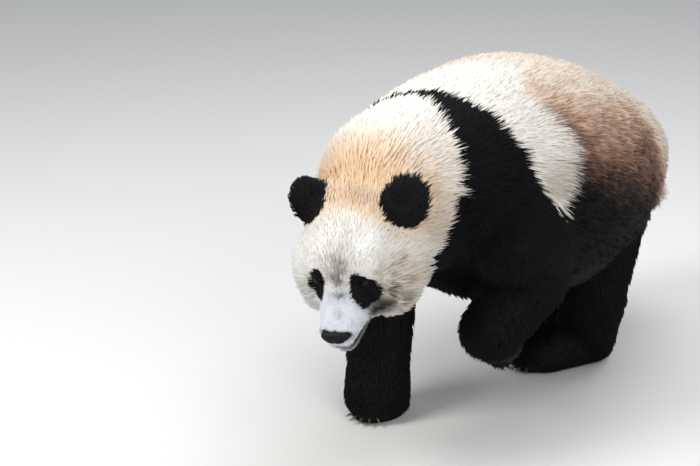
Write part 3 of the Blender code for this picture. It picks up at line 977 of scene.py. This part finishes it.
def marked(tree, along, lock):
    """The colour that the marks carried by a mesh give it."""
    inputs = {"Along": along, "Lock": lock, "Place": on_object(tree)}
    for field, names in MARK_FIELDS.items():
        split = add(tree, "ShaderNodeSeparateXYZ", {0: carried(tree, field, "Vector")})
        inputs.update(zip(names, split.outputs))
    return add(tree, "ShaderNodeGroup", inputs, node_tree=COAT_TINT).outputs["Colour"]


def fur_paint(tree):
    return (marked(tree, carried(tree, "along"), carried(tree, "lock")),)


def hide_paint(tree):
    """The same colours as the fur's, darkened by the painted shade at the locks' roots, with a fine short
    nap.
    """
    nap = noise(tree, on_object(tree), NAP_SCALE, 4.0)["Fac"]
    return marked(tree, along=0.35, lock=0.5), bumps(tree, nap, strength=0.5, distance=0.0015)


FUR = finish("fur", fur_paint, roughness=0.62, specular=0.14)
HIDE = finish("hide", hide_paint, roughness=0.85, specular=0.15)
skin_mesh.materials.clear()
skin_mesh.materials.append(HIDE)


# ---------------- the locks of the coat
PATCH_SIZE = 0.003  # how much of the coat's map one lock takes
LOCK_WAIST = 0.40  # how far along a lock is widest
LOCK_RISE = 1.8  # how early a lock rises
LOCK_STIR = 0.13
LOCK_TILT = 0.12
LOCK_SOFTNESS = 1.8  # how much a lock is lit as the skin under it would be
SWIRL_SCALE = 26.0
SWIRL_SHARE = 0.9
# The least and the most that a lock takes of each measure, in the order of its axes.
LOCK_SIZES = {"lock_length": (0.70, 1.15), "lock_width": (0.70, 1.30), "lock_depth": (0.45, 1.05)}
FLOOR_GAP = 0.0005  # no lock reaches lower
SHARE = 1.0
TRUNK_SPLIT = (-0.10, 0.22)  # the trunk's coat is in three strips, parted here along the body
FIRST_SEED = 11


def lock_shape():
    """One lock, 1 long along x, 1 wide and 1 high at its tip, with three corners at its waist."""
    z = 1.0 - (1.0 - LOCK_WAIST) ** LOCK_RISE
    points = [(0.0, 0.0, -0.15), (LOCK_WAIST, -0.5, z - 0.10), (LOCK_WAIST, 0.5, z - 0.10),
              (LOCK_WAIST + 0.04, 0.0, z + 0.28), (1.0, 0.0, 1.0)]
    to_root = [(0, 1 + (k + 1) % 3, 1 + k) for k in range(3)]
    to_tip = [(1 + k, 1 + (k + 1) % 3, 4) for k in range(3)]
    mesh = closed_mesh("lock", points, to_root + to_tip, [0.0] + [LOCK_WAIST] * 3 + [1.0])
    store(mesh, "patch", [(x, y + 0.5, 0.0) for x, y, _ in points])
    mesh.shade_smooth()
    return new_object("lock", mesh)


def coat_tree():
    """Locks set over a region of the skin, each lying as the coat lies there."""
    tree = bpy.data.node_groups.new("coat_locks", "GeometryNodeTree")
    for name, way, kind in (
            ("Skin", "INPUT", "Geometry"), ("Lock", "INPUT", "Object"), ("Share", "INPUT", "Float"),
            ("Stir", "INPUT", "Float"), ("Patch", "INPUT", "Float"), ("Softness", "INPUT", "Float"),
            ("Seed", "INPUT", "Int"), ("Finish", "INPUT", "Material"), ("Coat", "OUTPUT", "Geometry")):
        tree.interface.new_socket(name, in_out=way, socket_type="NodeSocket" + kind)
    given = add(tree, "NodeGroupInput").outputs

    def named(name, kind="FLOAT"):
        node = add(tree, "GeometryNodeInputNamedAttribute", {"Name": name}, data_type=kind)
        return node.outputs["Attribute"]

    def chance(low, high, seed, kind="FLOAT"):
        first = 0 if kind == "FLOAT_VECTOR" else 2
        node = add(tree, "FunctionNodeRandomValue", {first: low, first + 1: high, "Seed": seed},
                   data_type=kind)
        return node.outputs[first // 2]

    def vector(operation, first, second=None, scale=None):
        inputs = {0: first, 1: second, "Scale": scale}
        inputs = {key: value for key, value in inputs.items() if value is not None}
        return add(tree, "ShaderNodeVectorMath", inputs, operation=operation).outputs[0]

    def keep(geometry, name, value, kind, domain):
        inputs = {"Name": name, "Geometry": geometry, "Value": value}
        node = add(tree, "GeometryNodeStoreNamedAttribute", inputs, data_type=kind, domain=domain)
        return node.outputs[0]

    density = sums(tree, "MULTIPLY", named("lock_number"), given["Share"])
    spread = add(tree, "GeometryNodeDistributePointsOnFaces",
                 {"Mesh": given["Skin"], "Density": density, "Seed": given["Seed"]},
                 distribute_method="RANDOM")
    points = keep(spread.outputs["Points"], "lock", chance(0.0, 1.0, 5), "FLOAT", "POINT")

    place = add(tree, "GeometryNodeInputPosition").outputs[0]
    swirl = noise(tree, place, SWIRL_SCALE, 1.0)["Color"]
    drift = vector("SUBTRACT", swirl, (0.5, 0.5, 0.5))
    jitter = chance((-1.0,) * 3, (1.0,) * 3, 6, "FLOAT_VECTOR")
    way = vector("ADD", named("lie", "FLOAT_VECTOR"), vector("SCALE", drift, scale=SWIRL_SHARE))
    way = vector("ADD", way, vector("SCALE", jitter, scale=given["Stir"]))
    tilt = chance((-LOCK_TILT,) * 3, (LOCK_TILT,) * 3, 7, "FLOAT_VECTOR")
    up = vector("ADD", named("facing", "FLOAT_VECTOR"), tilt)
    turn = add(tree, "FunctionNodeAxesToRotation", {"Primary Axis": up, "Secondary Axis": way},
               primary_axis="Z", secondary_axis="X")
    size = add(tree, "ShaderNodeCombineXYZ", {
        k: sums(tree, "MULTIPLY", named(measure), chance(*share, 8 + k))
        for k, (measure, share) in enumerate(LOCK_SIZES.items())})
    shape = add(tree, "GeometryNodeObjectInfo", {"Object": given["Lock"]})
    single = add(tree, "GeometryNodeGeometryToInstance", {0: shape.outputs["Geometry"]})
    set_on = add(tree, "GeometryNodeInstanceOnPoints", {
        "Points": points, "Instance": single.outputs[0],
        "Rotation": turn.outputs[0], "Scale": size.outputs[0],
    })
    real = add(tree, "GeometryNodeRealizeInstances", {0: set_on.outputs[0]})

    centred = vector("SUBTRACT", named("patch", "FLOAT_VECTOR"), (0.5, 0.5, 0.0))
    on_map = vector("ADD", named("coat_map", "FLOAT_VECTOR"),
                    vector("SCALE", centred, scale=given["Patch"]))
    coat = keep(real.outputs[0], "OFBake", on_map, "FLOAT2", "CORNER")
    own = add(tree, "GeometryNodeInputNormal").outputs[0]
    soft = vector("SCALE", named("facing", "FLOAT_VECTOR"), scale=given["Softness"])
    blended = vector("NORMALIZE", vector("ADD", own, soft))
    coat = add(tree, "GeometryNodeSetMeshNormal", {"Mesh": coat, "Custom Normal": blended},
               mode="FREE", domain="POINT").outputs[0]
    for spare in ("lie", "facing", "lock_*", "patch", "coat_map", "id"):
        drop = add(tree, "GeometryNodeRemoveAttribute", {"Name": spare, 0: coat})
        if "*" in spare:
            drop.pattern_mode = "WILDCARD"
        coat = drop.outputs[0]
    dress = add(tree, "GeometryNodeSetMaterial", {"Geometry": coat, "Material": given["Finish"]})
    add(tree, "NodeGroupOutput", {0: dress.outputs[0]})
    return tree


LOCK = lock_shape()
COAT_TREE = coat_tree()

# The pieces of the coat, and the solids that each covers.
REGIONS = {
    "coat_head": HEAD_NODES,
    "coat_ear_left": ("ear_left",),
    "coat_ear_right": ("ear_right",),
    "coat_neck": ("neck",),
    "coat_trunk": ("trunk", "tail"),
}
for limb in LIMBS:
    REGIONS[f"coat_{limb}"] = (f"upper_{limb}", f"lower_{limb}", f"paw_{limb}")


def region_of_points():
    """The index of each point's region, and the regions' names. The trunk is in six."""
    region = np.full(len(outer), -1)
    names = list(REGIONS)
    for k, name in enumerate(names):
        region[np.isin(owner_names, REGIONS[name])] = k
    on_trunk = region == names.index("coat_trunk")
    strip = np.digitize(outer[:, 1], TRUNK_SPLIT)
    half = (outer[:, 0] < 0).astype(int)
    region[on_trunk] = len(names) + strip[on_trunk] * 2 + half[on_trunk]
    names += [f"coat_trunk_{part}_{side}" for part in ("front", "middle", "rear") for side in SIDES]
    return region, names


point_region, region_names = region_of_points()


def skin_region(index):
    """The part of the skin that one piece of the coat grows from, with its own unwrap."""
    def cut_out(bm):
        gone = [f for f in bm.faces if point_region[f.verts[0].index] != index]
        bmesh.ops.delete(bm, geom=gone, context="FACES")

    mesh = skin_mesh.copy()
    edit(mesh, cut_out)
    ground = new_object("ground_" + region_names[index], mesh)
    mesh.uv_layers.new(name="coat_map")
    bpy.context.view_layer.objects.active = ground
    ground.select_set(True)
    bpy.ops.object.mode_set(mode="EDIT")
    bpy.ops.mesh.select_all(action="SELECT")
    bpy.ops.uv.smart_project(angle_limit=math.radians(66.0), island_margin=0.004)
    bpy.ops.object.mode_set(mode="OBJECT")
    ground.select_set(False)
    return ground


def grow(name, ground, seed):
    """One piece of the coat, as a mesh of its own."""
    layer = ground.modifiers.new("coat", "NODES")
    layer.node_group = COAT_TREE
    values = {"Lock": LOCK, "Share": SHARE, "Stir": LOCK_STIR, "Patch": PATCH_SIZE,
              "Softness": LOCK_SOFTNESS, "Seed": seed, "Finish": FUR}
    for item in COAT_TREE.interface.items_tree:
        if item.in_out == "INPUT" and item.name in values:
            layer[item.identifier] = values[item.name]
    mesh = as_shown(ground)
    ground.modifiers.remove(layer)
    mesh.name = name
    co = coordinates(mesh)
    co[:, 2] = np.maximum(co[:, 2], FLOOR_GAP)
    put_back(mesh, co)
    piece = new_object(name, mesh)
    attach(piece, "root")


for k, name in enumerate(region_names):
    if (point_region == k).any():
        ground = skin_region(k)
        grow(name, ground, FIRST_SEED + k)
        bpy.data.objects.remove(ground)
bpy.data.objects.remove(LOCK)

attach(skin, "root")
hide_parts(*FLESH)


# ---------------- eyes
EYE_SPAN = 1.1  # the rings' measure is 1 this far from the pupil's middle, in radians
# The eye's rings out from the pupil: how far, and the colour there.
EYE_RINGS = (
    (0.30, (0.002, 0.002, 0.002, 1.0)),
    (0.36, shade(34, 20, 13)),
    (0.72, shade(22, 14, 10)),
    (0.80, shade(12, 9, 8)),
)


def ball(name, centre, radius, rings=24, parts=32):
    bm = bmesh.new()
    bmesh.ops.create_uvsphere(bm, u_segments=parts, v_segments=rings, radius=radius)
    bmesh.ops.translate(bm, verts=bm.verts, vec=centre)
    mesh = bpy.data.meshes.new(name)
    bm.to_mesh(mesh)
    bm.free()
    mesh.shade_smooth()
    return new_object(name, mesh)


EYE = finish("eye", lambda tree: (tones(tree, carried(tree, "from_pupil"), EYE_RINGS),),
             roughness=0.16, specular=0.16)
for side, s in SIDES.items():
    centre = HEAD_AT + HEAD_TURN @ Vector(on_side(EYE_PLACE, s))
    look = (HEAD_TURN @ Vector(on_side(LOOK, s))).normalized()
    eye = ball(f"eyeball_{side}", centre, EYE_RADIUS)
    out = (coordinates(eye.data) - np.array(centre)) / EYE_RADIUS
    store(eye.data, "from_pupil", np.arccos(np.clip(out @ np.array(look), -1, 1)) / EYE_SPAN)
    eye.data.materials.append(EYE)
    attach(eye, "root")
    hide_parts(f"eye_{side}")

# ---------------- nose leather
NOSE_SQUARE = 2.6
NOSTRIL_DEPTH = 0.55
NOSTRIL_SLIT_DEPTH = 0.25
NOSE_GROOVE_DEPTH = 0.16
PEBBLE_SCALE = 620.0
NOSE_TONES = ((0.0, shade(4, 4, 5)), (1.0, shade(14, 13, 15)))


def nose_leather():
    """A boxy ball, narrower at its foot, with two slit nostrils and a groove between them."""
    piece = ball("nose_leather", Vector((0, 0, 0)), 1.0, 48, 64)
    co = coordinates(piece.data)
    co /= np.sum(np.abs(co) ** NOSE_SQUARE, axis=1, keepdims=True) ** (1 / NOSE_SQUARE)
    x, y, z = co.T
    x = x * (1.0 - 0.34 * ramp(-z, -0.25, 1.0))
    front = ramp(-y, 0.15, 0.75)
    for s in SIDES.values():
        hole = np.hypot((x - 0.47 * s) / 0.22, (z + 0.10 + 0.10 * s * x) / 0.24)
        y = y + front * NOSTRIL_DEPTH * fade(hole, 0.35, 1.0)
        slit = np.hypot((x - 0.78 * s) / 0.22, (z + 0.34) / 0.12)
        y = y + front * NOSTRIL_SLIT_DEPTH * fade(slit, 0.3, 1.0)
    groove = fade(np.abs(x), 0.02, 0.10) * ramp(-z, -0.25, 0.15)
    y = y + front * NOSE_GROOVE_DEPTH * groove
    put_back(piece.data, out_of_head(np.stack([x, y, z], 1) * NOSE_SIZE + np.array(NOSE_AT)))
    return piece


def nose_paint(tree):
    pebble = add(tree, "ShaderNodeTexVoronoi", {"Scale": PEBBLE_SCALE, "Vector": on_object(tree)})
    height = pebble.outputs["Distance"]
    return tones(tree, height, NOSE_TONES), bumps(tree, height, strength=0.6, distance=0.0006)


nose = nose_leather()
nose.data.materials.append(finish("nose", nose_paint, roughness=0.46, specular=0.16))
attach(nose, "root")
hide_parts("nose_pad")

# ---------------- claws
# Each foot's fan of toes: its middle, the way it points, and the way its claws droop.
TOE_ROWS = {
    "fore_left": ((0.108, -0.292, 0.172), (-0.25, 0.35, -0.90), (0.0, 0.9, 0.4)),
    "fore_right": ((-0.132, -0.470, 0.020), (0.12, -1.0, 0.0), (0.0, 0.0, -1.0)),
    "hind_left": ((0.028, 0.024, 0.020), (-0.50, -0.86, 0.0), (0.0, 0.0, -1.0)),
    "hind_right": ((-0.118, 0.320, 0.020), (0.20, -1.0, 0.0), (0.0, 0.0, -1.0)),
}
TOES = 5
TOE_FAN = math.radians(96.0)
CLAW_START = 0.036  # how far a claw starts from the middle of the fan
CLAW_LENGTH = 0.030
CLAW_RADIUS = 0.0055
CLAW_FLAT = 0.75  # its width for its height
CLAW_DROOP = 0.25
CLAW_RINGS = 9
CLAW_SIDES = 10
CLAW_TONES = ((0.0, shade(26, 23, 22)), (1.0, shade(84, 76, 68)))


def claw_points(start, toward, droop):
    """The rings of a claw from its root to its tip, and how far along each point is."""
    across = toward.cross(droop)
    points, along = [], []
    for r in range(CLAW_RINGS):
        t = r / (CLAW_RINGS - 1)
        centre = start + toward * CLAW_LENGTH * t + droop * CLAW_LENGTH * CLAW_DROOP * t * t
        radius = CLAW_RADIUS * (1.04 - t ** 1.4)
        for k in range(CLAW_SIDES):
            angle = 2.0 * math.pi * k / CLAW_SIDES
            points.append(centre + across * radius * CLAW_FLAT * math.cos(angle)
                          + droop * radius * math.sin(angle))
            along.append(t)
    return points, along


def claw_faces(base):
    """The faces of a claw whose points start at base: its sides, its root and its tip."""
    rings = [base + r * CLAW_SIDES for r in range(CLAW_RINGS)]
    around = [(k, (k + 1) % CLAW_SIDES) for k in range(CLAW_SIDES)]
    faces = [(a + k, a + m, b + m, b + k) for a, b in zip(rings, rings[1:]) for k, m in around]
    return faces + [tuple(range(ring, ring + CLAW_SIDES)) for ring in (rings[0], rings[-1])]


CLAW = finish("claw", lambda tree: (tones(tree, carried(tree, "along"), CLAW_TONES),), roughness=0.35)
for foot, (fan_at, ahead, droop) in TOE_ROWS.items():
    ahead, droop = Vector(ahead).normalized(), Vector(droop)
    droop = (droop - ahead * droop.dot(ahead)).normalized()
    points, faces, along = [], [], []
    for i in range(TOES):
        toward = Matrix.Rotation(TOE_FAN * (i / (TOES - 1) - 0.5), 3, droop) @ ahead
        faces += claw_faces(len(points))
        more, shares = claw_points(Vector(fan_at) + POSE_AT + toward * CLAW_START, toward, droop)
        points += more
        along += shares
    mesh = closed_mesh(f"claws_{foot}", points, faces, along)
    for p in mesh.polygons:
        p.use_smooth = len(p.vertices) == 4
    mesh.materials.append(CLAW)
    claws = new_object(f"claws_{foot}", mesh)
    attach(claws, "root")

# ---------------- floor, light and camera
FLOOR_HALF = 7.0
FLOOR_COLOUR = shade(214, 213, 210)
WORLD_COLOUR = (0.80, 0.83, 0.88, 1.0)
WORLD_STRENGTH = 0.58
# Each lamp: where it is, what it shines at, its size, its power and its colour.
LAMPS = {
    "key": ((-1.8, -3.0, 3.6), (0.0, -0.2, 0.4), 2.2, 150.0, (1.0, 0.985, 0.96)),
    "sky": ((0.4, 1.0, 4.2), (0.0, 0.1, 0.3), 3.5, 114.0, (0.94, 0.97, 1.0)),
    "fill": ((3.2, -2.2, 2.2), (0.0, -0.1, 0.4), 2.5, 85.0, (1.0, 1.0, 1.0)),
}
CAMERA_AIM = POSE_AT + Vector((-0.43, -0.14, 0.33))
CAMERA_TURN = math.radians(35.5)
CAMERA_RISE = math.radians(18.2)
CAMERA_OFF = 4.5
CAMERA_LENS = 88.6


def aimed(name, data, at, toward):
    """A lamp or a camera at a place, looking along a way."""
    thing = new_object(name, data)
    thing.location = at
    thing.rotation_mode = "QUATERNION"
    thing.rotation_quaternion = toward.to_track_quat("-Z", "Y")
    return thing


floor_mesh = bpy.data.meshes.new("floor")
floor_corners = [(x * FLOOR_HALF, y * FLOOR_HALF, 0.0) for x, y in ((-1, -1), (1, -1), (1, 1), (-1, 1))]
floor_mesh.from_pydata(floor_corners, [], [(0, 1, 2, 3)])
floor_mesh.materials.append(finish("floor", lambda tree: (FLOOR_COLOUR,), roughness=0.75))
floor = new_object("floor", floor_mesh)

for name, (at, target, size, power, colour) in LAMPS.items():
    lamp = bpy.data.lights.new(name, "AREA")
    lamp.shape = "DISK"
    lamp.size = size
    lamp.energy = power
    lamp.color = colour
    aimed(name, lamp, at, Vector(target) - Vector(at))

world = bpy.data.worlds.new("studio")
world.use_nodes = True
background = world.node_tree.nodes["Background"].inputs
background["Color"].default_value = WORLD_COLOUR
background["Strength"].default_value = WORLD_STRENGTH
bpy.context.scene.world = world
bpy.context.scene.view_settings.view_transform = "Standard"

level = math.cos(CAMERA_RISE)
back = Vector((math.sin(CAMERA_TURN) * level, -math.cos(CAMERA_TURN) * level, math.sin(CAMERA_RISE)))
camera_data = bpy.data.cameras.new("camera")
camera_data.lens = CAMERA_LENS
camera_data.sensor_width = 36.0
bpy.context.scene.camera = aimed("camera", camera_data, CAMERA_AIM + back * CAMERA_OFF, -back)
